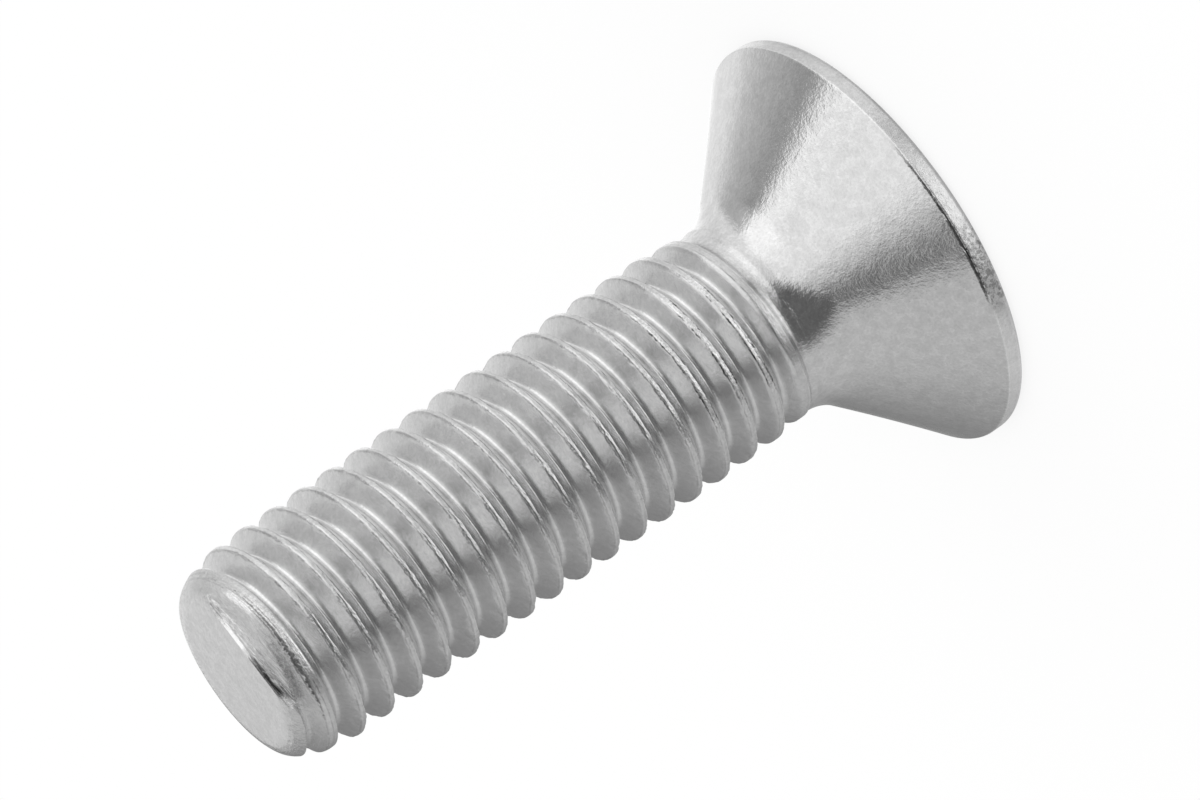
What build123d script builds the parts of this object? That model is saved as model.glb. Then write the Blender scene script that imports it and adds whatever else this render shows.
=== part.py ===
"""Countersunk socket screw, M10 x 1.5, 35 long, fully threaded, in millimetres.

The screw stands on its head: the flat head face is the plane Z = 0 and the shank rises along +Z.
It is one piece of steel: a cold-headed blank with a hex socket, and a rolled right-hand thread.
"""
from build123d import *
from math import ceil, floor, radians, tan
import os

# Head
overall_length = 34.5  # from the head's flat face to the tip
head_diameter = 19.5
rim_height = 0.83  # straight lip between the flat face and the cone
rim_edge_round = 0.30
countersink_angle = 90.0  # whole angle of the cone

# Plain neck between the cone and the thread
neck_below_crest = 0.355  # how far the neck lies inside the thread's crests
neck_length = 1.60  # from the cone's foot to the first rise of the thread
neck_fillet = 2.85

# Thread
thread_diameter = 9.75  # over the crests, near the low limit of a plated thread
pitch = 1.5
thread_angle = 60.0  # whole angle between two flanks
crest_width = 0.19  # flat left at the top of the ridge
root_width = 0.25  # flat left between two turns of the ridge
crest_direction = 189.4  # degrees from +X at which a crest line would start on Z = 0
runout_length = 1.41  # height over which the thread rises to its full depth

# Tip
lead_length = 2.60  # height over which the crests narrow towards the tip
lead_drop = 0.775  # how far they narrow, on the radius
lead_crown = 8.8  # radius of the lead's bulge
tip_edge_round = 0.50

# Hex socket
socket_across_flats = 6.0
socket_depth = 4.4  # down to the end of the flats
socket_floor_angle = 120.0
socket_mouth_diameter = 7.2

overlap = 0.15  # how far solids run into each other where they are joined or cut

head_radius = head_diameter / 2
crest_radius = thread_diameter / 2
flank_slope = tan(radians(thread_angle / 2))  # how fast the ridge widens towards its root
thread_depth = (pitch - crest_width - root_width) / (2 * flank_slope)
root_radius = crest_radius - thread_depth
neck_radius = crest_radius - neck_below_crest
lead_radius = crest_radius - lead_drop
cone_foot = rim_height + (head_radius - neck_radius) / tan(radians(countersink_angle / 2))
runout_start = cone_foot + neck_length
runout_end = runout_start + runout_length
ridge_start = (floor(runout_start / pitch) - 1) * pitch
ridge_turns = ceil((overall_length - ridge_start) / pitch + 0.5)
ridge_end = ridge_start + (ridge_turns + 1) * pitch

STANDING = (Align.CENTER, Align.CENTER, Align.MIN)


def blank():
    """The headed blank: rim, cone and filleted neck, ending in a cone that closes the thread's root."""
    largest_fillet = 0.95 * neck_length / tan(radians(countersink_angle / 4))
    root_slope = (neck_radius - root_radius) / runout_length
    buried_end = runout_end + overlap / root_slope
    outline = FilletPolyline(
        (0, 0),
        (head_radius, 0),
        (head_radius, rim_height),
        (neck_radius, cone_foot),
        (neck_radius, runout_start),
        (root_radius - overlap, buried_end),
        (0, buried_end),
        radius=(rim_edge_round, 0, min(neck_fillet, largest_fillet), 0, 0),
    )
    half_section = make_face(outline + Line((0, buried_end), (0, 0)))
    return revolve(Plane.XZ * half_section, Axis.Z)


def ridge_turn(height):
    """One turn of the thread's ridge: a trapezoid swept up a helix from the given height.

    It starts inside the root, where half of the root's width still parts two turns, and ends
    outside the crest, where it is half as wide as the crest. The form of the crests trims it.
    """
    inner = root_radius - root_width / 4 / flank_slope
    outer = crest_radius + crest_width / 4 / flank_slope
    inner_half_width = pitch / 2 - root_width / 4
    outer_half_width = crest_width / 4
    section = Polyline(
        (inner, 0, -inner_half_width),
        (outer, 0, -outer_half_width),
        (outer, 0, outer_half_width),
        (inner, 0, inner_half_width),
        close=True,
    )
    turn = sweep(make_face(section), path=Helix(pitch, pitch, crest_radius), is_frenet=True)
    return Pos(0, 0, height) * Rot(0, 0, crest_direction) * turn


def crest_form():
    """What the crests keep to: the rise from the neck, the full diameter and the crowned lead."""
    base = ridge_start - pitch
    hidden_radius = neck_radius - overlap / 5
    lead_start = overall_length - lead_length
    sides = Polyline(
        (0, ridge_end),
        (0, base),
        (hidden_radius, base),
        (hidden_radius, runout_start),
        (crest_radius, runout_end),
        (crest_radius, lead_start),
    )
    lead = RadiusArc((crest_radius, lead_start), (lead_radius, overall_length), lead_crown)
    tail = Polyline((lead_radius, overall_length), (root_radius - overlap, ridge_end), (0, ridge_end))
    return revolve(Plane.XZ * make_face(sides + lead + tail), Axis.Z)


def threaded_shank():
    """The root cylinder with the ridge on it, turn by turn, still longer than the screw."""
    base = ridge_start - 2 * pitch
    root = Pos(0, 0, base) * Cylinder(root_radius, ridge_end + pitch - base, align=STANDING)
    form = crest_form()
    turns = [ridge_turn(ridge_start + turn * pitch) & form for turn in range(ridge_turns)]
    return root + turns


def tip_form():
    """The space under the flat tip face and inside the round at its edge."""
    edge_slope = 2 * lead_drop / lead_length
    reach = head_radius + pitch
    outline = FilletPolyline(
        (0, overall_length),
        (lead_radius, overall_length),
        (reach, overall_length - (reach - lead_radius) / edge_slope),
        (reach, -pitch),
        (0, -pitch),
        radius=(tip_edge_round, 0, 0),
    )
    half_section = make_face(outline + Line((0, -pitch), (0, overall_length)))
    return revolve(Plane.XZ * half_section, Axis.Z)


def socket():
    """The hex socket with its drill-pointed floor and the chamfer at its mouth."""
    inscribed_radius = socket_across_flats / 2
    hexagon = RegularPolygon(inscribed_radius, 6, major_radius=False)
    flats = extrude(Pos(0, 0, -overlap) * hexagon, socket_depth + overlap)
    floor_depth = inscribed_radius / tan(radians(socket_floor_angle / 2))
    floor_cone = Pos(0, 0, socket_depth) * Cone(inscribed_radius, 0, floor_depth, align=STANDING)
    mouth_radius = socket_mouth_diameter / 2 + overlap
    mouth = Pos(0, 0, -overlap) * Cone(mouth_radius, 0, mouth_radius, align=STANDING)
    return flats + floor_cone + mouth


screw = ((blank() + threaded_shank()) & tip_form()) - socket()

os.makedirs("parts", exist_ok=True)
export_step(screw.solid(), "parts/countersunk_screw.step")
print("volume", round(screw.volume, 1), "mm3, size", screw.bounding_box().size)
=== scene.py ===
# %% [markdown]
# # A countersunk socket screw, zinc plated
#
# The screw is one piece of steel. A blank is cold headed, which makes the cone and presses
# the hex socket into it, and the thread is then rolled between two dies, not cut. Last comes
# a thin coat of zinc. Each of these steps leaves its own marks, and the cells below follow
# them: the smooth cone, the ragged rim, the creased crests and the fine grain of the plating.
#
# The screw stands on its head here: the flat face lies on the plane Z = 0, the shank rises
# along +Z, and two corners of the hex socket point along +X and -X. The first cell loads the
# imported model, which is the frame that everything else has to fit.

# %% Load the frame
from math import cos, pi, radians, sin, tan

import bmesh
import bpy
import numpy as np
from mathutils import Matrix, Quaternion, Vector


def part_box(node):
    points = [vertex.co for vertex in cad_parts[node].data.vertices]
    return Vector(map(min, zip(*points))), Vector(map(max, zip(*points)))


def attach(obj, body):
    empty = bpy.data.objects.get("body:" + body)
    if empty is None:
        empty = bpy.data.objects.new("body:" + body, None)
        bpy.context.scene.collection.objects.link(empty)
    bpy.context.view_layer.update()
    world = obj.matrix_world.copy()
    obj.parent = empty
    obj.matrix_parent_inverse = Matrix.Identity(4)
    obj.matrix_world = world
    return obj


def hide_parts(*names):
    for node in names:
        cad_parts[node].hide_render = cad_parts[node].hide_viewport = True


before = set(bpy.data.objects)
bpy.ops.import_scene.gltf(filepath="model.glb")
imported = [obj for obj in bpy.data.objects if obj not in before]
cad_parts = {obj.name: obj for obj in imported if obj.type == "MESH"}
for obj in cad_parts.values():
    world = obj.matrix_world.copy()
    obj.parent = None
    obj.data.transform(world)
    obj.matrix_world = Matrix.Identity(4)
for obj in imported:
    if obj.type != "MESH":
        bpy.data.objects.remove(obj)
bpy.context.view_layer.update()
MM = 0.001  # the frame is in metres, and a screw is thought of in millimetres
screw_low, screw_high = (np.array(corner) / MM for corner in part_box("countersunk_screw"))
print("CAD box, mm:", screw_low.round(3), screw_high.round(3))

# %% [markdown]
# ## The sizes of the screw
#
# A drawing of a screw states only a few sizes, and the rest follows from them. The thread is
# M10 x 1.5: its crests are 1.5 mm apart, and its flanks make 60 degrees with each other. The
# length and the head's diameter are read from the frame, so the two can't drift apart. All
# the lengths below are in millimetres until the mesh is made.

# %% Name the sizes
overall_length = screw_high[2]
head_radius = (screw_high[0] - screw_low[0]) / 2
rim_height = 0.832
neck_radius = 4.520
neck_fillet = 2.856  # the round between the cone and the neck
crest_radius = 4.875
pitch = 1.5
thread_depth = 0.918
flank_slope = tan(radians(30))  # how much wider a ridge gets for each millimetre down
crest_direction = pi  # the direction in which the crest line would start on the plane Z = 0
across_flats = 6.0
socket_depth = 4.4
print(f"length {overall_length:.2f}, head {2 * head_radius:.2f}, thread {2 * crest_radius:.2f} mm")

# %% [markdown]
# ## Soft bends
#
# Rolled and pressed steel has no razor edge: every corner is a small bend, and it is the
# bends that catch the light as bright and dark lines. Three small functions make every bend
# here. They work on whole arrays, so one call shapes the whole surface.

# %% Make the soft bends
def soft_floor(value, bottom, softness):
    """The value where it is far above the bottom, the bottom where it is far below, and a
    smooth bend between them: bottom + softness * log(1 + exp((value - bottom) / softness))."""
    return bottom + softness * np.logaddexp(0, (value - bottom) / softness)


def soft_cap(value, top, softness):
    """The value where it is far below the top, the top where it is far above, and a smooth
    bend between them: the soft floor turned upside down."""
    return -soft_floor(-value, -top, softness)


def smooth_step(value, start, end):
    """0 up to the start, 1 from the end on, and 3 t^2 - 2 t^3 in between, where t goes
    from 0 to 1."""
    t = np.clip((value - start) / (end - start), 0, 1)
    return t * t * (3 - 2 * t)


print("bends:", soft_floor(np.array([-0.1, 0.0, 0.1]), 0, 0.02).round(4), smooth_step(0.5, 0, 1))

# %% [markdown]
# ## The wander of a rolled line
#
# No line on a rolled thread is quite straight: the crest's edge runs in and out by a few
# hundredths of a millimetre. A sum of sine waves along the thread gives such a line. It
# could also be painted with a noise texture, but then it would not be in the mesh. The
# phases are drawn from a seeded generator, so every run gives the same screw.

# %% Make lines that wander
random = np.random.default_rng(35)


def wander(distance, longest, shortest, waves=9):
    """A wavy value between about -1 and 1 along a distance: the mean of sine waves whose
    lengths run evenly in their logarithm from the longest to the shortest."""
    lengths = np.geomspace(longest, shortest, waves)
    phases = random.uniform(0, 2 * pi, waves)
    total = np.zeros_like(distance)
    for length, phase in zip(lengths, phases):
        total = total + np.sin(2 * pi * distance / length + phase)
    return total / np.sqrt(waves)


print("a wandering line:", wander(np.linspace(0, 5, 6), 4, 0.8).round(2))

# %% [markdown]
# ## The grid that follows the thread
#
# A thread is one groove that winds round the shank, so the best grid winds with it. Its
# columns are directions round the axis. Its rows are helices: one row lies on the crest,
# one in the root, and the rest crowd where the profile bends. After one turn, row 0 meets
# row 0 of the next pitch, and the grid closes without a seam. A screw modifier could sweep
# a profile in the same way, but then every turn would be the same, and the run-out and the
# tip need each turn to differ.

# %% Lay out the helical grid
columns = 150  # a multiple of 6, so that the socket's corners fall on columns
turn_angle = np.linspace(0, 2 * pi, columns, endpoint=False)
half_rows = [0.04, 0.07, 0.09, 0.11, 0.13, 0.16, 0.21, 0.28, 0.38, 0.49, 0.56, 0.61, 0.65, 0.69]
row_places = np.array([-place for place in reversed(half_rows)] + [0.0] + half_rows + [pitch / 2])
rows_per_turn = len(row_places)
neck_top = 7.15
bevel_depth = 0.14
tip_start = overall_length - bevel_depth
first_turn = int(np.floor(neck_top / pitch)) - 2
last_turn = int(np.ceil(tip_start / pitch)) + 2
turns = np.arange(first_turn, last_turn + 1)

rise_of_column = pitch * (turn_angle - crest_direction) / (2 * pi)
grid_height = rise_of_column[:, None] + (turns[:, None] * pitch + row_places).ravel()
grid_across = np.broadcast_to(np.tile(row_places, len(turns)), grid_height.shape)
grid_turn = turn_angle[:, None] / (2 * pi) + np.repeat(turns, rows_per_turn)
grid_along = grid_turn * 2 * pi * crest_radius  # millimetres walked along the crest line
grid_direction = np.broadcast_to(turn_angle[:, None], grid_height.shape)
print("thread grid:", grid_height.shape, "columns by rows,", rows_per_turn, "rows in each turn")

# %% [markdown]
# ## Where the thread ends
#
# At the neck the first ridge is half made: the dies only brushed the steel there, so it
# stands a little above a wall that steps down from the fillet. At the tip the blank was
# chamfered, so the crests get lower. The blank was also cut from wire by a shear, which
# left a flat on one side of the face, with a short bevel and a shelf beyond it. Each of
# them is a limit that the steel can't pass, so the thread is simply capped by it, where a
# Boolean would need a cutter for each and leave ragged triangles.

# %% Limit the crests at the neck and at the tip
neck_step = 0.08
step_start, step_end = 6.93, 7.33


def neck_wall(height):
    """The neck's radius: it steps down a little just before the thread."""
    return neck_radius - neck_step * smooth_step(height, step_start, step_end)


half_made_rise = 0.18  # how far the half-made ridge stands above the wall
half_made_start, half_made_end = 6.9, 7.5
whole_start, whole_end = 7.9, 9.0  # between these, crests go from half made to whole
groove_start, groove_end = 7.2, 8.7  # between these, the groove gets its full depth
low_crest, low_crest_reach = 0.11, 2.2
tip_below = [0.00, 0.08, 0.16, 0.27, 0.42, 0.62, 1.00, 1.50, 2.00, 2.60, 6.00]
tip_limits = [3.47, 3.80, 3.95, 4.08, 4.21, 4.34, 4.52, 4.66, 4.77, 4.88, 5.40]
fine_below = np.arange(0, tip_below[-1], 0.01)
fine_limits = np.interp(fine_below, tip_below, tip_limits)
window = 17  # hundredths of a millimetre
averaged = np.convolve(fine_limits, np.full(window, 1 / window), mode="same")
bend_share = smooth_step(fine_below, 0.06, 0.12) * (1 - smooth_step(fine_below, 5.0, 5.5))
fine_limits = fine_limits + (averaged - fine_limits) * bend_share


def tip_limit(height):
    """The tip's profile: a line through a few points, its bends averaged over 0.17 mm."""
    return np.interp(overall_length - height, fine_below, fine_limits)


def crest_limit(crest_height):
    """How far the steel reaches at a crest line: a half-made ridge at the neck, then the
    crest radius less a part that fades exponentially, and the tip's profile at the end."""
    risen = crest_radius - low_crest * np.exp(-(crest_height - whole_end) / low_crest_reach)
    risen = np.minimum(np.minimum(risen, crest_radius), tip_limit(crest_height))
    rise = half_made_rise * smooth_step(crest_height, half_made_start, half_made_end)
    half_made = neck_radius - neck_step + rise
    return half_made + (risen - half_made) * smooth_step(crest_height, whole_start, whole_end)


crest_sizes = {height: round(float(crest_limit(height)), 3) for height in (7.5, 9, 12, 20, 32, 34)}
print("crest limit by height:", crest_sizes)

# %% Cut the flat that the shear left
shear_direction = radians(-81)
shear_below = [0.0, 0.14, 0.17, 0.25, 0.28, 0.37, 0.40, 0.62, 1.2, 40]
shear_gentle = [2.80, 2.89, 3.04, 3.10, 3.28, 3.35, 3.52, 3.98, 5.4, 99]
shear_steep = [2.80, 2.81, 3.02, 3.05, 3.27, 3.31, 3.52, 3.98, 5.4, 99]


def sheared_edge(height, direction):
    """The flat left by the shear: its distance from the axis grows in three small steps
    away from the face, and the radius in another direction is that distance divided by
    cos(angle between the two), raised to a power that falls from 1 to 0.5 with depth. On
    one side the steps are steeper, because the steel broke there."""
    below = overall_length - height
    gentle = np.interp(below, shear_below, shear_gentle)
    steep = np.interp(below, shear_below, shear_steep)
    steep_share = smooth_step(np.sin(shear_direction - direction), -0.08, 0.12)
    reach = gentle + (steep - gentle) * steep_share
    lean = np.cos(direction - shear_direction)
    power = 1 - 0.5 * smooth_step(below, 0.05, 0.35)
    return np.where(lean > 0.3, reach / np.maximum(lean, 0.3) ** power, 99)


print("flat, 0 to 0.4 mm below the face:", sheared_edge(
    overall_length - np.array([0, 0.1, 0.2, 0.3, 0.4]), shear_direction).round(2))

# %% [markdown]
# ## The thread's profile
#
# Across one pitch, the profile is a flank, a narrow crest and a flank, with a round root
# between turns. The crest leans over towards the tip, the way the steel was squeezed.
# Rolling pushes steel up from both sides of a groove, and where the two sides meet, the
# crest can keep a fine crease. It is deep where the crest is not filled, near the neck and
# at the tip. The crest's edge on the tip's side is rounded off by a parabola, up to 0.03 mm.
# A crest keeps its height across its width, so its limit is read at the crest line and not
# at the point itself.

# %% Shape the thread
crest_half_width = 0.105
crest_lean = 0.027
crest_rounding = 5.0  # how strongly the parabola drops, per millimetre
crest_softness = 0.018
root_softness = 0.088
edge_wander = 0.022
crease_width = 0.03
neck_crease, tip_crease = 0.012, 0.045
tip_lean = 0.12  # how far the crests near the tip are squeezed over
last_ridge = 33.31  # the crest line that ends beside the sheared flat
last_ridge_loss = 0.30  # how much of that ridge's far flank is missing

edge_line = wander(grid_along, 3.0, 0.42)
crease_line = wander(grid_along, 7.0, 0.9)


def thread_radius(height, across, direction):
    """Radius of the shank: crest radius less depth. On a flank, the depth is (distance from
    the crest's middle - half its width) / slope. It is kept softly below the crest's limit
    and above the root, a crease adds a bell curve to it, and it fades into the neck's wall."""
    crest_height = height - across
    at_tip = smooth_step(height, overall_length - 2.8, overall_length - 1.4)
    shifted = across + tip_lean * at_tip * (1 - (across / (pitch / 2)) ** 2)
    thinner = last_ridge_loss * np.exp(-(((crest_height - last_ridge) / 0.12) ** 2))
    shifted = shifted + thinner * smooth_step(across, -0.05, 0.05)
    near_edge = 1 - smooth_step(np.abs(across), 0.14, 0.28)
    half_width = crest_half_width + edge_wander * edge_line * near_edge
    flank = (np.abs(shifted - crest_lean) - half_width) / flank_slope

    lean_share = smooth_step(crest_height, overall_length - 1.05, overall_length - 0.75)
    limit = crest_limit(crest_height + across * lean_share)
    whole_ridge = smooth_step(crest_height, whole_end - 0.7, whole_end)
    ramp = (1 - whole_ridge) * (1 - smooth_step(across, -0.42, -0.12))
    limit = limit + (neck_wall(height) - limit) * ramp
    edge_place = crest_lean + half_width + (crest_radius - limit) * flank_slope
    rounding = crest_rounding * np.clip(across - edge_place + 0.07, 0, 0.08) ** 2
    depth = soft_floor(flank, crest_radius - limit + rounding, crest_softness)
    depth = thread_depth - soft_floor(thread_depth - depth, 0, root_softness)

    near_neck = np.exp(-np.clip(height - whole_end, 0, None) / pitch)
    past_last_ridge = smooth_step(crest_height, last_ridge - 0.09, last_ridge + 0.03)
    crease_depth = neck_crease * near_neck * whole_ridge + tip_crease * at_tip * past_last_ridge
    crease_depth = crease_depth * smooth_step(overall_length - height, 0.15, 0.5)
    crease_place = shifted - 0.18 * at_tip - 0.02 * crease_line
    crease = crease_depth * np.exp(-((crease_place / crease_width) ** 2))
    radius = crest_radius - depth - crease

    wall = neck_wall(height)
    groove = wall + (radius - wall) * smooth_step(height, groove_start, groove_end)
    radius = np.where(radius > wall, radius, groove)
    radius = soft_cap(radius, tip_limit(height), 0.012)
    return soft_cap(radius, sheared_edge(height, direction), 0.010)


grid_radius = thread_radius(grid_height, grid_across, grid_direction)
print(f"thread radius from {grid_radius.min():.3f} to {grid_radius.max():.3f} mm")

# %% [markdown]
# ## The head's outline
#
# The head is a turned shape: flat face, rim, 90 degree cone and a fillet into the neck. Its
# outline is written as short runs of straight lines and arcs, from the socket's mouth
# outwards, and every point becomes a ring. The rings are close only where the outline bends.

# %% Draw the outline
def straight(start, end, count):
    """Points on a straight line, both ends included, as (radius, height)."""
    return np.linspace(start, end, count)


def arc(centre, size, start, end, count):
    """Points on an arc between two directions in degrees: centre + size * (cos, sin)."""
    turn = np.radians(np.linspace(start, end, count))
    return np.array(centre) + size * np.stack([np.cos(turn), np.sin(turn)], axis=1)


mouth_radius = 3.6
rim_round = 0.34
edge_round = 0.12
cone_hollow = 0.035  # how far the cone sags below a straight line
cone_foot = rim_height + head_radius - neck_radius  # where the cone would meet the neck
fillet_reach = neck_fillet * tan(radians(22.5))
fillet_centre = (neck_radius + neck_fillet, cone_foot + fillet_reach)
fillet_start = arc(fillet_centre, neck_fillet, 225, 225, 1)[0]
edge_reach = edge_round * tan(radians(22.5))
edge_centre = (head_radius - edge_round, rim_height - edge_reach)
edge_end = arc(edge_centre, edge_round, 45, 45, 1)[0]
rim_corner = (head_radius - rim_round, rim_round)
step_heights = np.linspace(fillet_centre[1] - neck_fillet * sin(radians(7)), neck_top, 7)
step_radii = fillet_centre[0] - np.sqrt(neck_fillet**2 - (fillet_centre[1] - step_heights) ** 2)
step_radii = step_radii + neck_wall(step_heights) - neck_radius
cone_place = np.concatenate([[0, 0.006, 0.012, 0.018, 0.026], np.linspace(0.08, 1, 13)])[:, None]
cone_line = edge_end + (np.array(fillet_start) - edge_end) * cone_place
cone_line = cone_line - cone_hollow * 4 * cone_place * (1 - cone_place) * np.sqrt(0.5)

head_outline = np.concatenate([
    straight((mouth_radius, 0), (head_radius - rim_round, 0), 10),
    arc(rim_corner, rim_round, -90, 0, 10)[1:],
    straight((head_radius, rim_round), (head_radius, edge_centre[1]), 4)[1:],
    arc(edge_centre, edge_round, 0, 45, 5)[1:],
    cone_line[1:],
    arc(fillet_centre, neck_fillet, 225, 187, 13)[1:],
    np.stack([step_radii, step_heights], axis=1)[1:],
])
print("head outline:", len(head_outline), "rings, up to", head_outline[-1].round(3))

# %% [markdown]
# ## The fold at the rim
#
# Heading squeezes the steel outwards, and where it runs over the edge of the die it folds.
# One side of the rim keeps such a fold: a narrow crack between the rim and the cone, whose
# depth wanders. It is cut into the rings next to the edge, straight in, at 45 degrees.

# %% Cut the fold
fold_direction = radians(-99)
fold_depth = 0.08
fold_width = 0.032
fold_place = 0.05  # how far beyond the end of the rim's edge
past_edge = head_outline - edge_end
beyond_edge = (past_edge[:, 1:] - past_edge[:, :1]) * np.sqrt(0.5)
fold_share = smooth_step(np.cos(turn_angle - fold_direction), cos(radians(27)), cos(radians(17)))
fold_share = fold_share * (0.75 + 0.35 * wander(turn_angle * head_radius, 3.0, 0.9))
on_rim = past_edge[:, 1:] > -0.4  # the flat face lies further down and isn't cut
crack = fold_depth * np.exp(-(((beyond_edge - fold_place) / fold_width) ** 2)) * fold_share * on_rim
print(f"the fold is up to {crack.max():.3f} mm deep")

# %% [markdown]
# ## The hex socket
#
# A punch presses the socket into the head: six flat walls, 6 mm across flats, a shallow
# cone at the bottom from the punch's point, and a round chamfer at the mouth, which guides
# the key. A hexagon is a ring too: in each direction its radius is half the width across
# flats, divided by the cosine of the angle to the nearest flat's middle.

# %% Make the socket's rings
hex_radius = across_flats / 2 / np.cos(turn_angle % (pi / 3) - pi / 6)
point_depth = across_flats / 2 / tan(radians(60))
apex_height = socket_depth + point_depth

cone_share = np.linspace(0, 1, 9)[1:, None]
floor_radii = cone_share * across_flats / 2 + 0 * hex_radius
floor_heights = apex_height - cone_share * point_depth + 0 * hex_radius
mouth_depth = mouth_radius - hex_radius  # the 45 degree chamfer is deepest over the flats
wall_share = np.linspace(0, 1, 8)[:, None]
wall_radii = hex_radius + 0 * wall_share
wall_heights = socket_depth + (mouth_depth - socket_depth) * wall_share
chamfer_share = np.linspace(0, 1, 4)[1:-1, None]
chamfer_radii = hex_radius + mouth_depth * chamfer_share
chamfer_heights = mouth_depth * (1 - chamfer_share)
print(f"socket: corners at {hex_radius.max():.3f} mm, point at {apex_height:.3f} mm deep")

# %% [markdown]
# ## Joining the three parts into one skin
#
# The skin is three grids that share their edges: rings for the socket and head, the helical
# grid, and rings for the tip. Points of the helical grid that lie outside the thread's zone
# are not made. Their faces use the nearest point of the ring there instead, and a face that
# shrinks to nothing is dropped. So the helices end in the rings without a gap.

# %% Number the points of the head and the tip
outline_radii = head_outline[:, :1] - crack * np.sqrt(0.5)
outline_heights = head_outline[:, 1:] - crack * np.sqrt(0.5)
head_radii = np.concatenate([floor_radii, wall_radii, chamfer_radii, outline_radii])
head_heights = np.concatenate([floor_heights, wall_heights, chamfer_heights, outline_heights])

bevel_below = np.array([bevel_depth, 0.11, 0.08, 0.055, 0.03, 0.012, 0.0])
bevel_heights = overall_length - bevel_below[:, None]
bevel_radii = soft_cap(tip_limit(bevel_heights), sheared_edge(bevel_heights, turn_angle), 0.010)
face_radii = bevel_radii[-1] * np.linspace(1, 0, 14)[1:-1, None]
tip_radii = np.concatenate([bevel_radii, face_radii])
tip_heights = np.concatenate([bevel_heights + 0 * turn_angle, overall_length + 0 * face_radii])
print("rings:", len(head_radii), "in the head and", len(tip_radii), "at the tip")


# %% Place the points
def ring_points(radii, heights):
    """Points of rings: radius * cos, radius * sin, height, one row for each ring."""
    return np.stack([radii * np.cos(turn_angle), radii * np.sin(turn_angle), heights], axis=-1)


inside = (grid_height > neck_top + 0.012) & (grid_height < tip_start - 0.012)
thread_points = np.stack([
    grid_radius * np.cos(grid_direction),
    grid_radius * np.sin(grid_direction),
    grid_height,
], axis=-1)[inside]
head_points = ring_points(head_radii, head_heights).reshape(-1, 3)
tip_points = ring_points(tip_radii, tip_heights).reshape(-1, 3)
poles = np.array([[0, 0, apex_height], [0, 0, overall_length]])
points = np.concatenate([head_points, thread_points, tip_points, poles])

head_numbers = np.arange(len(head_points)).reshape(len(head_radii), columns)
first_tip_number = len(head_points) + len(thread_points)
tip_numbers = first_tip_number + np.arange(len(tip_points)).reshape(len(tip_radii), columns)
socket_pole, tip_pole = len(points) - 2, len(points) - 1
print("points:", len(points))

# %% Join the points with triangles
def skin(numbers):
    """Two triangles for each cell of a grid of point numbers. Rows run up the screw and
    columns run anticlockwise, so the faces point away from the axis."""
    low_left, low_right = numbers[:-1, :-1], numbers[:-1, 1:]
    high_left, high_right = numbers[1:, :-1], numbers[1:, 1:]
    lower = np.stack([low_left, low_right, high_right], axis=-1)
    upper = np.stack([low_left, high_right, high_left], axis=-1)
    return np.concatenate([lower.reshape(-1, 3), upper.reshape(-1, 3)])


def closed(numbers):
    """Rings with their first column repeated at the end."""
    return np.concatenate([numbers, numbers[:, :1]], axis=1)


def fan(ring, pole):
    """Triangles from a ring to one point beyond it."""
    return np.stack([ring, np.roll(ring, -1), np.full(columns, pole)], axis=1)


thread_numbers = np.full(grid_height.shape, -1)
thread_numbers[inside] = len(head_points) + np.arange(len(thread_points))
below_thread = grid_height < overall_length / 2
outside_numbers = np.where(below_thread, head_numbers[-1][:, None], tip_numbers[0][:, None])
thread_numbers = np.where(inside, thread_numbers, outside_numbers)
first_column_again = thread_numbers[:1, rows_per_turn:]
after_one_turn = np.concatenate([thread_numbers[:, :-rows_per_turn], first_column_again])

triangles = np.concatenate([
    skin(closed(head_numbers)),
    skin(after_one_turn.T),
    skin(closed(tip_numbers)),
    fan(head_numbers[0], socket_pole)[:, ::-1],
    fan(tip_numbers[-1], tip_pole),
])
corner_a, corner_b, corner_c = triangles.T
whole = (corner_a != corner_b) & (corner_b != corner_c) & (corner_a != corner_c)
triangles = triangles[whole]
print("triangles:", len(triangles), "after dropping", int((~whole).sum()), "empty ones")

# %% [markdown]
# ## One closed mesh
#
# The finished skin has to be watertight, with its faces outwards. A mesh is closed when every
# edge has exactly two faces, and its faces point outwards when its signed volume is positive.
# Smooth shading is cut only at true corners: the socket's edges and the edge of its mouth.

# %% Build the mesh and check it
screw_mesh = bpy.data.meshes.new("plated_screw")
screw_mesh.from_pydata((points * MM).tolist(), [], triangles.tolist())
screw_mesh.update()
screw_mesh.polygons.foreach_set("use_smooth", np.ones(len(screw_mesh.polygons), bool))
screw_mesh.set_sharp_from_angle(angle=radians(40))

check = bmesh.new()
check.from_mesh(screw_mesh)
open_edges = sum(len(edge.link_faces) != 2 for edge in check.edges)
volume = check.calc_volume(signed=True) / MM**3
check.free()
print(f"{len(screw_mesh.polygons)} faces, {open_edges} open edges, volume {volume:.0f} mm3")

screw = bpy.data.objects.new("plated_screw", screw_mesh)
bpy.context.scene.collection.objects.link(screw)
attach(screw, "root")
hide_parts("countersunk_screw")

# %% [markdown]
# ## The finish: what the eye sees on zinc
#
# The coat is a metal, so its colour is what it reflects, and it needs no colour of its own
# beyond a mid grey. What makes it look like zinc is small. The coat is a layer of crystals
# a few hundredths of a millimetre across, so the surface sparkles very finely where it
# passes from light to dark. It is faintly blotched where it dried. The dies drew fine lines
# along the thread and tore the crests a little. The steel was never machined at the rim of
# the head, which is rough and ragged.
#
# All of it is made in a node tree from the object's own coordinates, so that it stays in place
# when the part is moved. The first cell makes three small helpers that keep the later cells
# short.

# %% Start the material
steel = bpy.data.materials.new("zinc_plated_steel")
steel.use_nodes = True
tree = steel.node_tree
coat = tree.nodes["Principled BSDF"]
screw_mesh.materials.append(steel)


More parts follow.
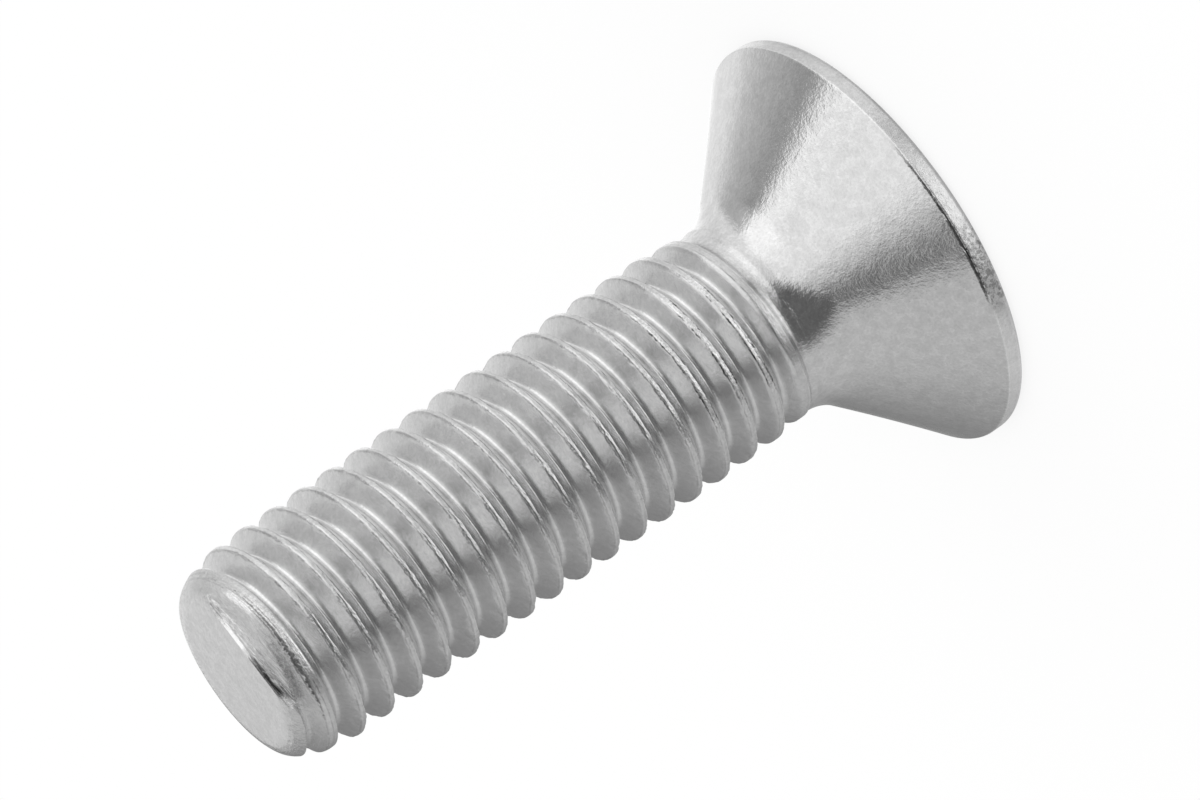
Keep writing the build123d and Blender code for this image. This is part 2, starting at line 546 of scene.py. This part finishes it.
def connect(socket, value):
    """Link the socket to another socket, or set its value."""
    if isinstance(value, bpy.types.NodeSocket):
        tree.links.new(value, socket)
    else:
        socket.default_value = value


def math(operation, first, second=0.5, third=0.5):
    """A Math node: its operation on up to three sockets or numbers."""
    node = tree.nodes.new("ShaderNodeMath")
    node.operation = operation
    for socket, value in zip(node.inputs, (first, second, third)):
        connect(socket, value)
    return node.outputs["Value"]


def step(value, start, end):
    """A Map Range node: 0 at the start, 1 at the end, smooth in between."""
    node = tree.nodes.new("ShaderNodeMapRange")
    node.interpolation_type = "SMOOTHSTEP"
    for name, given in (("Value", value), ("From Min", start), ("From Max", end)):
        connect(node.inputs[name], given)
    return node.outputs["Result"]


print("material:", steel.name)

# %% [markdown]
# ## Coordinates that wind with the thread
#
# Three numbers say where a point is on the screw: its height, its distance from the axis and
# its direction. A fourth says where it is on the thread: the phase, which grows by one turn
# from crest to crest and stays the same along the helix. The phase jumps somewhere, as every
# angle does, but its cosine and sine don't. So the patterns read those two.

# %% Work out height, distance, direction and phase
place = tree.nodes.new("ShaderNodeTexCoord").outputs["Object"]
in_mm = tree.nodes.new("ShaderNodeVectorMath")
in_mm.operation = "SCALE"
connect(in_mm.inputs[0], place)
in_mm.inputs["Scale"].default_value = 1 / MM
place_mm = in_mm.outputs["Vector"]
parts = tree.nodes.new("ShaderNodeSeparateXYZ")
connect(parts.inputs[0], place_mm)
along_x, along_y, up = parts.outputs
across_squared = math("MULTIPLY_ADD", along_x, along_x, math("MULTIPLY", along_y, along_y))
axis_distance = math("SQRT", across_squared)
direction = math("ARCTAN2", along_y, along_x)
phase = math("SUBTRACT", math("MULTIPLY_ADD", up, 2 * pi / pitch, crest_direction), direction)
phase_cos, phase_sin = math("COSINE", phase), math("SINE", phase)
direction_cos, direction_sin = math("COSINE", direction), math("SINE", direction)
across_pitch = math("MULTIPLY", math("ARCTAN2", phase_sin, phase_cos), pitch / (2 * pi))
print("coordinates ready")

# %% [markdown]
# ## Noise with the right grain
#
# A noise texture is a smooth random field. Its scale is how many waves fit in a millimetre,
# because the coordinates are in millimetres. Read with plain coordinates, it has no
# direction, as the crystals have none. Read with the phase, it is drawn out into lines along
# the thread: it changes fast across the helix and slowly along it. That needs four numbers
# to stay free of seams, and a noise texture can take four. The sheared flat at the tip has
# lines of its own: they follow the blade, so they read how far out a point lies towards the
# flat, how far beside its middle, and how high.

# %% Make the noises
def noise(scale, detail=2.0, roughness=0.5, vector=place_mm, fourth=None, distortion=0.0):
    """A Noise Texture's value, centred on 0 and reaching about -0.5 and 0.5."""
    node = tree.nodes.new("ShaderNodeTexNoise")
    node.noise_dimensions = "3D" if fourth is None else "4D"
    connect(node.inputs["Vector"], vector)
    if fourth is not None:
        connect(node.inputs["W"], fourth)
    node.inputs["Scale"].default_value = scale
    node.inputs["Detail"].default_value = detail
    node.inputs["Roughness"].default_value = roughness
    node.inputs["Distortion"].default_value = distortion
    return math("SUBTRACT", node.outputs[0], 0.5)


def drawn_vector(fineness, length_scale):
    """Coordinates that change by the fineness across the thread for each radian of phase,
    and by the length scale for each radian round the axis."""
    node = tree.nodes.new("ShaderNodeCombineXYZ")
    connect(node.inputs["X"], math("MULTIPLY", phase_cos, fineness))
    connect(node.inputs["Y"], math("MULTIPLY", phase_sin, fineness))
    connect(node.inputs["Z"], math("MULTIPLY", direction_cos, length_scale))
    fourth = math("ADD", math("MULTIPLY", direction_sin, length_scale), math("MULTIPLY", up, 1.7))
    return node.outputs["Vector"], fourth


crystals = noise(8.0, 2.0, 0.7)
ripple = noise(3.5, 3.0, 0.6)
cloud = noise(1.1, 4.0, 0.6, distortion=0.6)
blotches = noise(2.2, 2.0, 0.5)
line_vector, line_fourth = drawn_vector(9.0, 9.0)
drawn_lines = noise(1.0, 3.0, 0.65, line_vector, line_fourth)
tear_vector, tear_fourth = drawn_vector(2.2, 26.0)
tears = noise(1.0, 3.0, 0.7, tear_vector, tear_fourth)
rim_grit = noise(5.0, 4.0, 0.7)
flat_cos, flat_sin = cos(shear_direction), sin(shear_direction)
reach = math("MULTIPLY_ADD", along_x, flat_cos, math("MULTIPLY", along_y, flat_sin))
beside = math("MULTIPLY_ADD", along_x, flat_sin, math("MULTIPLY", along_y, -flat_cos))
shear_vector = tree.nodes.new("ShaderNodeCombineXYZ")
for socket, value, scale in zip(shear_vector.inputs, (reach, beside, up), (9.0, 0.8, 9.0)):
    connect(socket, math("MULTIPLY", value, scale))
shear_lines = noise(1.0, 2.0, 0.6, shear_vector.outputs["Vector"])
print("noises:", sum(node.type == "TEX_NOISE" for node in tree.nodes))

# %% [markdown]
# ## Zones of the screw
#
# The same coat looks different where the steel under it was made in another way. A mask is
# 1 in its zone and 0 elsewhere, with a soft border. It could be painted by hand as a vertex
# colour, but here it is a comparison of the coordinates, so it has no limit of resolution.
# The step from above draws every border, and the helpers here keep the masks short.

# %% Make the mask helpers
def product(first, *others):
    """The values multiplied with each other: where all are masks, 1 where all are 1."""
    for value in others:
        first = math("MULTIPLY", first, value)
    return first


def between(value, start, full, fading, end):
    """0 up to the start, 1 from full to fading and 0 again from the end on."""
    return product(step(value, start, full), step(value, end, fading))


def near(value, centre, inner, outer):
    """1 up to the inner distance from the centre and 0 from the outer distance on."""
    return step(math("ABSOLUTE", math("SUBTRACT", value, centre)), outer, inner)


def toward(angle):
    """1 in the given direction round the screw, -1 on the opposite side, a cosine between."""
    return math("MULTIPLY_ADD", direction_cos, cos(angle), product(direction_sin, sin(angle)))


above_neck = math("SUBTRACT", up, neck_top)
below_face = math("SUBTRACT", overall_length, up)
beyond_rim = math("SUBTRACT", axis_distance, head_radius)
print("mask helpers ready")

# %% [markdown]
# The thread has smooth roots, lightened with a painted highlight, shiny crests and a ragged
# outline along both edges of each crest, where the dies tore the steel, darkened with painted
# shade. The outline wanders with the same noise as the tears, and its painted shade is darkest
# on the camera's side of the screw. The lowest turns filled the dies least, so their crests
# are rough and speckled, on that side most of all, where they also carry a painted highlight.

# %% Mask the thread
thread_zone = product(step(above_neck, 0.55, 1.15), step(below_face, 0.1, 0.4))
neck_zone = between(above_neck, -0.25, 0.15, 1.55, 2.15)
# The roots get a painted highlight: their colour is lightened.
root_highlight_mask = product(step(math("ABSOLUTE", across_pitch), 0.58, 0.66), thread_zone)
crest_mask = product(near(across_pitch, 0.02, 0.10, 0.15), thread_zone)
off_crest = math("ABSOLUTE", math("SUBTRACT", across_pitch, 0.02))
edge_mask = product(between(off_crest, 0.04, 0.08, 0.13, 0.17), thread_zone)

from_crest = math("ABSOLUTE", math("SUBTRACT", across_pitch, 0.035))
outline_offset = math("MULTIPLY_ADD", tears, 0.16, from_crest)
# Painted shade: a dark ragged outline along both edges of each crest.
outline_shade_mask = product(near(outline_offset, 0.115, 0.012, 0.036), thread_zone)
outline_shade_mask = product(outline_shade_mask, step(cloud, -0.12, 0.06))
# The outline's painted shade is strongest on the camera's side of the screw.
camera_side = step(direction_sin, -0.75, -0.92)
low_turns = product(between(above_neck, 1.25, 2.05, 3.85, 8.35), step(direction_sin, -0.66, -0.93))
# Rough, speckled crests on the lowest turns; on the camera's side their colour is also lightened as a
# painted highlight.
rough_highlit_crest = product(near(across_pitch, 0.02, 0.08, 0.125), thread_zone, low_turns)
# On the lowest turns the outline's painted shade is speckled.
rough_outline_shade = product(outline_shade_mask, low_turns)
print("thread masks ready")

# %% [markdown]
# At the tip, the shear that cut the blank drew its own marks: a torn strip beside the face,
# with a painted highlight on one side and dark on the other, a shelf beyond it, and a sliver
# of the last ridge that it polished, which is smoother and also carries a painted highlight.
# Below them lies the last whole ridge, with a rough land on its crest and a crease where the
# steel folded over, darkened with painted shade.

# %% Mask the tip
tip_zone = product(step(below_face, 1.5, 0.9), step(axis_distance, 3.0, 3.4))
sheared_side = between(below_face, 0.004, 0.02, 0.85, 1.0)
torn = between(math("MULTIPLY_ADD", rim_grit, 0.14, reach), 2.58, 2.66, 2.90, 2.97)
torn = product(torn, between(below_face, 0.004, 0.02, 0.22, 0.32))
torn_dark = product(torn, between(beside, 0.10, 0.45, 2.05, 2.35))
# The torn strip's bright side is a painted highlight.
torn_highlight = product(torn, between(beside, -2.1, -1.7, -0.45, -0.15))
shelf = product(step(reach, 2.85, 2.95), step(below_face, 0.95, 0.80), step(beside, -0.6, 0.9))
# A smoother sliver of the last ridge, whose colour is also lightened as a painted highlight.
smooth_highlit_sliver = product(between(across_pitch, 0.07, 0.12, 0.28, 0.34), step(below_face, 1.10, 1.00))
smooth_highlit_sliver = product(smooth_highlit_sliver, between(beside, -2.7, -2.2, -1.3, -0.8))

land_mask = product(
    between(below_face, 0.6, 0.8, 1.6, 2.0),
    between(across_pitch, -0.38, -0.30, 0.02, 0.12),
    between(beside, -2.4, -1.2, 2.0, 2.6),
)
# Painted shade in the crease of the last whole ridge.
crease_shade_mask = near(math("MULTIPLY_ADD", tears, 0.28, across_pitch), 0.06, 0.035, 0.065)
crease_shade_mask = product(crease_shade_mask, between(below_face, 0.92, 1.00, 1.17, 1.25))
print("tip masks ready")

# %% [markdown]
# The rim was never machined. Beside the fold its coat is crackled, and the fold itself is a
# crack along the rim's edge, darkened with painted shade. The rim's upper half is lightened
# and one side of it darkened, both painted light. Height less distance from the axis grows
# steadily up the cone, so one value of it is a ring round the head. Off the thread, where
# drops of the bath dried, they left faint rings, which are a noise close to one of its own values.

# %% Mask the head
rim_zone = product(step(beyond_rim, -0.14, -0.07), step(up, 0.90, 0.83))
# Painted light: the rim's upper half is lightened.
rim_top_light = step(up, 0.25, 0.5)
crackle = step(toward(radians(-112)), cos(radians(14)), cos(radians(8)))
crackle = product(crackle, rim_zone, step(rim_grit, -0.04, 0.06))
crack_line = edge_end[1] - edge_end[0] + 0.07
crack_offset = math("MULTIPLY_ADD", rim_grit, 0.45, math("SUBTRACT", up, axis_distance))
# Painted shade in the crack of the fold.
crack_shade_mask = product(
    near(crack_offset, crack_line, 0.055, 0.110),
    step(axis_distance, 9.5, 9.6),
    step(toward(fold_direction), cos(radians(26)), cos(radians(17))),
)
off_thread = math("SUBTRACT", 1.0, thread_zone)
stain_rings = product(near(blotches, 0.07, 0.0, 0.045), off_thread)
print("head masks ready")

# %% [markdown]
# ## Relief, shine and shade
#
# Relief comes first, as a height in millimetres: the crystals everywhere, slow ripples that
# make the reflections waver, lines and tears on the crests, the blade's lines on the sheared
# flat, and a rough rim. A Bump node turns the height into slopes. The shine and the shade
# then vary a little with the same noises, so that a rougher place is also a duller one. Each
# of the three is a sum, in which every part is a noise or a mask times an amount.

# %% Add up the relief
def total(start, *parts):
    """The start plus each part's value times its amount."""
    for value, amount in parts:
        start = math("MULTIPLY_ADD", value, amount, start)
    return start


grain_depth = total(0.0090, (thread_zone, -0.0015), (crest_mask, 0.003), (land_mask, 0.008))
line_depth = total(0.0012, (crest_mask, 0.004), (neck_zone, 0.010), (tip_zone, 0.035))
relief = total(
    0.0,
    (crystals, grain_depth),
    (ripple, 0.008),
    (cloud, total(0.010, (thread_zone, -0.004))),
    (drawn_lines, line_depth),
    (tears, product(edge_mask, 0.030)),
    (shear_lines, product(sheared_side, 0.032)),
    (rim_grit, product(rim_zone, 0.02)),
    (crystals, product(rough_highlit_crest, 0.012)),
    (blotches, product(thread_zone, 0.004)),
)

bump = tree.nodes.new("ShaderNodeBump")
bump.inputs["Strength"].default_value = 1.0
bump.inputs["Distance"].default_value = MM
connect(bump.inputs["Height"], relief)
connect(coat.inputs["Normal"], bump.outputs["Normal"])
print("relief ready")

# %% Set the shine and the shade
shine = total(
    0.13,
    (cloud, 0.06),
    (rim_zone, 0.16),
    (thread_zone, 0.13),
    (crest_mask, -0.11),
    (smooth_highlit_sliver, -0.12),
    (rough_highlit_crest, 0.12),
)
connect(coat.inputs["Roughness"], shine)

shade = total(
    0.72,
    (cloud, 0.14),
    (ripple, 0.10),
    (crystals, total(0.26, (thread_zone, -0.04))),
    (blotches, 0.12),
    (stain_rings, 0.05),
    (crackle, -0.38),
    # painted highlight in the roots
    (root_highlight_mask, 0.09),
    (product(tears, crest_mask), 0.35),
    # painted light on the rim: lighter on its upper half, lighter towards -X and darker towards +X
    (rim_zone, total(product(rim_top_light, 0.10), (direction_cos, -0.12))),
    # painted highlight, speckled, on the rough crests of the lowest turns
    (rough_highlit_crest, total(0.20, (crystals, 0.70))),
    # painted shade, speckled, on the outline of the lowest turns
    (rough_outline_shade, total(-0.26, (crystals, 2.20))),
    (land_mask, total(0.12, (crystals, 0.50))),
    (shelf, total(-0.16, (shear_lines, 0.60))),
    # painted shade along the crests' outline, darkest on the camera's side
    (outline_shade_mask, total(-0.14, (camera_side, -0.24))),
    # painted highlight on the smooth sliver
    (smooth_highlit_sliver, 0.24),
    # painted shade in the fold's crack
    (crack_shade_mask, -0.45),
    # painted shade in the crease
    (crease_shade_mask, -0.55),
    (torn_dark, total(-0.48, (shear_lines, 1.30))),
    # painted highlight on the torn strip's bright side
    (torn_highlight, 0.26),
)
grey = tree.nodes.new("ShaderNodeCombineColor")
for channel in grey.inputs[:3]:
    connect(channel, shade)
connect(coat.inputs["Base Color"], grey.outputs["Color"])
coat.inputs["Metallic"].default_value = 1.0
print("finish ready:", len(tree.nodes), "nodes")

# %% [markdown]
# ## The floor
#
# The floor is plain white paper. Seen straight on by the camera it is pure white, which its
# own light gives it, and a share of the paper stays plain, so that the screw still casts a
# faint shadow on it. From below the floor isn't there, so that the socket can be looked at.

# %% Lay the floor
floor_size = 2.0
floor_height = -0.05 * MM  # just clear of the head, so that no two faces lie in one plane
floor_mesh = bpy.data.meshes.new("floor")
floor_signs = ((-1, -1), (1, -1), (1, 1), (-1, 1))
floor_corners = [(x * floor_size, y * floor_size, floor_height) for x, y in floor_signs]
floor_mesh.from_pydata(floor_corners, [], [(0, 1, 2, 3)])
floor = bpy.data.objects.new("floor", floor_mesh)
bpy.context.scene.collection.objects.link(floor)
floor.visible_glossy = False  # reflections in the metal see the tent instead

paper = bpy.data.materials.new("paper")
paper.use_nodes = True
floor_mesh.materials.append(paper)
paper_nodes, paper_links = paper.node_tree.nodes, paper.node_tree.links
plain = paper_nodes["Principled BSDF"]
plain.inputs["Base Color"].default_value = (0.95, 0.95, 0.95, 1)
plain.inputs["Roughness"].default_value = 1.0
plain.inputs["Specular IOR Level"].default_value = 0.0
glow = paper_nodes.new("ShaderNodeEmission")
glow.inputs["Strength"].default_value = 1.0
clear = paper_nodes.new("ShaderNodeBsdfTransparent")
ray = paper_nodes.new("ShaderNodeLightPath")
seen = paper_nodes.new("ShaderNodeMath")
seen.operation = "ADD"
seen_too = paper_nodes.new("ShaderNodeMath")
seen_too.operation = "ADD"
share = paper_nodes.new("ShaderNodeMath")
share.operation = "MULTIPLY"
share.use_clamp = True
share.inputs[1].default_value = 0.8  # the rest stays plain paper, which shows the shadow
white = paper_nodes.new("ShaderNodeMixShader")
side = paper_nodes.new("ShaderNodeNewGeometry")
sides = paper_nodes.new("ShaderNodeMixShader")
paper_links.new(ray.outputs["Is Camera Ray"], seen.inputs[0])
paper_links.new(ray.outputs["Is Glossy Ray"], seen.inputs[1])
paper_links.new(seen.outputs[0], seen_too.inputs[0])
paper_links.new(ray.outputs["Is Transmission Ray"], seen_too.inputs[1])
paper_links.new(seen_too.outputs[0], share.inputs[0])
paper_links.new(share.outputs[0], white.inputs["Fac"])
paper_links.new(plain.outputs["BSDF"], white.inputs[1])
paper_links.new(glow.outputs["Emission"], white.inputs[2])
paper_links.new(side.outputs["Backfacing"], sides.inputs["Fac"])
paper_links.new(white.outputs["Shader"], sides.inputs[1])
paper_links.new(clear.outputs["BSDF"], sides.inputs[2])
paper_links.new(sides.outputs["Shader"], paper_nodes["Material Output"].inputs["Surface"])
print("floor:", floor_size * 2, "m square")

# %% [markdown]
# ## The light
#
# A shiny metal shows what stands round it, so a plain white room would make it look like
# plaster. In a studio, such a part goes into a light tent of white cloth with dark gaps in
# it, so that the metal gets both bright and dark reflections. Area lights with cards between
# them would do the same, but each card would need its own place and size. The tent here is
# one sphere of cloth, with a brightness for each direction that is painted in layers, the
# way a plan of a studio is drawn. Only reflections see it. The world lights the paper, at a
# strength of about 1.

# %% Say how bright the cloth is
def band(value, start, end, soft_start, soft_end=None):
    """1 between a start and an end, 0 outside, with soft borders of the given half widths."""
    soft_end = soft_start if soft_end is None else soft_end
    opening = smooth_step(value, start - soft_start, start + soft_start)
    return opening * (1 - smooth_step(value, end - soft_end, end + soft_end))


def paint(value, brightness, mask):
    """The value where the mask is 0 and the brightness where it is 1."""
    return value + (brightness - value) * mask


def cloth_above(azimuth, elevation):
    """Brightness of the upper cloth, layer over layer. Both angles are in degrees: azimuth 0
    is the camera's side and 90 is +X, and elevation 0 is level with the screw's middle."""
    # Grey cloth on the left, a little brighter at the back and dark low down.
    value = paint(0.59, 0.70, 1 - smooth_step(azimuth, -180, -150))
    low_line = 6 + 34 * smooth_step(azimuth, -178, -150)
    low_back = 1 - smooth_step(elevation, low_line - 8, low_line + 8)
    value = paint(value, 0.24, low_back * (1 - smooth_step(azimuth, -175, -100)))

    # White cloth on the right, with a brighter sheet in it and a duller one below the sheet.
    value = paint(value, 1.00, smooth_step(azimuth, -18, 22))
    sheet_edge = 79.5 + 0.4 * np.clip(elevation, 0, 60)
    sheet = smooth_step(azimuth, 23, 67) * (1 - smooth_step(azimuth, sheet_edge - 4, sheet_edge + 2))
    sheet = sheet * (1 - smooth_step(elevation, 35, 55))
    value = paint(value, 1.28, sheet * smooth_step(elevation, -14, 8))
    under_sheet = 0.60 + 0.40 * smooth_step(azimuth, 12, 55)
    under = band(azimuth, 20, 88, 14, 6) * (1 - smooth_step(elevation, -4, 4))
    value = paint(value, under_sheet, under)

    # A grey strip beyond the sheet's edge, and paler cloth below it and behind it.
    strip = smooth_step(azimuth, sheet_edge - 2, sheet_edge + 5) * (1 - smooth_step(azimuth, 125, 165))
    strip = strip * smooth_step(elevation, -2, 8) * (1 - smooth_step(elevation, 44, 54))
    strip_value = 0.52 - 0.16 * smooth_step(elevation, 20, 36) * (1 - smooth_step(azimuth, 112, 132))
    value = paint(value, strip_value, strip)
    value = paint(value, 0.88, smooth_step(azimuth, 84, 92) * (1 - smooth_step(elevation, -5, 3)))
    value = paint(value, 0.90, smooth_step(azimuth, 124, 166) * (1 - smooth_step(elevation, 8, 22)))
    value = paint(value, 0.74, smooth_step(azimuth, 124, 166) * smooth_step(elevation, 8, 22))
    value = paint(value, 0.58, smooth_step(azimuth, 70, 95) * smooth_step(elevation, 55, 62))

    # The dark gap beside the camera. It leans to the left as it rises, and the cone's dark
    # streak is its reflection. A fold of cloth hangs in its upper part.
    gap_heights = [-10, 0, 10, 22, 37, 52, 65, 80]
    gap_edge = np.interp(elevation, gap_heights, [18, 14, 8, -1, -12, -21, -23, -20])
    gap_start = -66 + 0.12 * elevation - 11 * smooth_step(elevation, 54, 66)
    gap = smooth_step(azimuth, gap_start, gap_start + 16)
    gap = gap * (1 - smooth_step(azimuth, gap_edge - 8, gap_edge + 8))
    gap = gap * (1 - 0.65 * band(azimuth, -45, -31, 5) * smooth_step(elevation, 61, 66))
    return paint(value, 0.14, gap * (1 - smooth_step(elevation, 57, 80)))


def cloth_below(azimuth, elevation):
    """Brightness of the lower cloth, layer over layer from left to right. The flanks that
    face the head show it, with the glow of the floor below an elevation of about -28."""
    value = 0.35 + 0.11 * smooth_step(azimuth, -178, -95)
    value = paint(value, 0.21, band(azimuth, -65, -45, 7))
    value = paint(value, 1.22, smooth_step(azimuth, -47, -25))
    value = paint(value, 1.14, smooth_step(azimuth, -8, 8))
    value = paint(value, 0.38, band(azimuth, 22, 50, 9))
    value = paint(value, 0.64, smooth_step(azimuth, 44, 60))
    value = paint(value, 0.74, smooth_step(azimuth, 84, 100))
    value = paint(value, 1.22, smooth_step(azimuth, 132, 154))
    floor_glow = 0.12 - 0.18 * band(azimuth, -40, 20, 10) - 0.30 * smooth_step(azimuth, 90, 130)
    floor_glow = floor_glow + 0.45 * band(azimuth, 44, 88, 10)
    floor_glow = floor_glow + 0.40 * (1 - smooth_step(azimuth, -110, -70))
    value = value * (1 + floor_glow * (1 - smooth_step(elevation, -34, -22)))
    return paint(value, 0.5, 1 - smooth_step(elevation, -62, -44))


def cloth_brightness(azimuth, elevation):
    """The lower cloth below the horizon and the upper cloth above it, softly joined."""
    above = smooth_step(elevation, -19, -14)
    return paint(cloth_below(azimuth, elevation), cloth_above(azimuth, elevation), above)


print("cloth to the right:", round(float(cloth_brightness(60.0, 20.0)), 2))

# %% Put up the tent
tent_radius = 0.3
tent_centre = np.array([0, 0, overall_length / 2 * MM])
sectors, levels = 240, 180
azimuths, elevations = np.meshgrid(
    np.radians(np.linspace(-180, 180, sectors, endpoint=False)),
    np.radians(np.linspace(-90, 90, levels)[1:-1]),
)
tent_points = tent_radius * np.stack([
    np.cos(elevations) * np.sin(azimuths),
    -np.cos(elevations) * np.cos(azimuths),
    np.sin(elevations),
], axis=-1).reshape(-1, 3)
tent_poles = np.array([[0, 0, -tent_radius], [0, 0, tent_radius]])
tent_points = tent_centre + np.concatenate([tent_points, tent_poles])
brightness = cloth_brightness(np.degrees(azimuths), np.degrees(elevations)).ravel()
brightness = np.append(brightness, [brightness[:sectors].mean(), brightness[-sectors:].mean()])

tent_numbers = np.arange(azimuths.size).reshape(azimuths.shape)
low_pole, high_pole = azimuths.size, azimuths.size + 1
tent_faces = np.concatenate([
    skin(closed(tent_numbers)),
    np.stack([tent_numbers[0], np.roll(tent_numbers[0], -1), np.full(sectors, low_pole)], axis=1),
    np.stack([tent_numbers[-1], np.roll(tent_numbers[-1], -1), np.full(sectors, high_pole)], axis=1),
])
tent_mesh = bpy.data.meshes.new("tent")
tent_mesh.from_pydata(tent_points.tolist(), [], tent_faces.tolist())
cloth_layer = tent_mesh.attributes.new("brightness", "FLOAT", "POINT")
cloth_layer.data.foreach_set("value", brightness.astype(np.float32))
tent = bpy.data.objects.new("tent", tent_mesh)
bpy.context.scene.collection.objects.link(tent)
tent.visible_camera = False
tent.visible_diffuse = False
tent.visible_shadow = False
tent.visible_transmission = False

cloth = bpy.data.materials.new("tent_cloth")
cloth.use_nodes = True
cloth.cycles.emission_sampling = "NONE"
tent_mesh.materials.append(cloth)
cloth_nodes, cloth_links = cloth.node_tree.nodes, cloth.node_tree.links
cloth_nodes.remove(cloth_nodes["Principled BSDF"])
cloth_glow = cloth_nodes.new("ShaderNodeEmission")
cloth_value = cloth_nodes.new("ShaderNodeAttribute")
cloth_value.attribute_name = "brightness"
cloth_links.new(cloth_value.outputs["Fac"], cloth_glow.inputs["Strength"])
cloth_links.new(cloth_glow.outputs["Emission"], cloth_nodes["Material Output"].inputs["Surface"])
print(f"tent: brightness {brightness.min():.2f} to {brightness.max():.2f}")

# %% Light the paper
world = bpy.data.worlds.new("studio")
bpy.context.scene.world = world
world.use_nodes = True
world.node_tree.nodes["Background"].inputs["Color"].default_value = (1, 1, 1, 1)
world.node_tree.nodes["Background"].inputs["Strength"].default_value = 1.06
world.cycles.sampling_method = "NONE"
bpy.context.scene.view_settings.view_transform = "Standard"
print("world strength:", world.node_tree.nodes["Background"].inputs["Strength"].default_value)

# %% [markdown]
# ## The camera
#
# The screw is seen from a little above its tip, with the camera turned on its side, so that
# the tip points down to the left. A long lens from almost 0.4 m away keeps the shape plain,
# and nothing is out of focus.

# %% Place the camera
camera_aim = Vector((0.813, 0, 14.457)) * MM
camera_distance = 382.37 * MM
camera_azimuth, camera_elevation, camera_roll = radians(-0.130), radians(20.540), radians(-124.671)
camera_back = Vector((
    sin(camera_azimuth) * cos(camera_elevation),
    -cos(camera_azimuth) * cos(camera_elevation),
    sin(camera_elevation),
))
camera_data = bpy.data.cameras.new("camera")
camera_data.lens = 274.26
camera_data.sensor_width = 36
camera_data.clip_start = 0.01
camera = bpy.data.objects.new("camera", camera_data)
bpy.context.scene.collection.objects.link(camera)
camera.rotation_mode = "QUATERNION"
upright = (-camera_back).to_track_quat("-Z", "Y")
camera.rotation_quaternion = upright @ Quaternion((0, 0, 1), camera_roll)
camera.location = camera_aim + camera_back * camera_distance
bpy.context.scene.camera = camera
print("camera at", [round(value, 4) for value in camera.location])
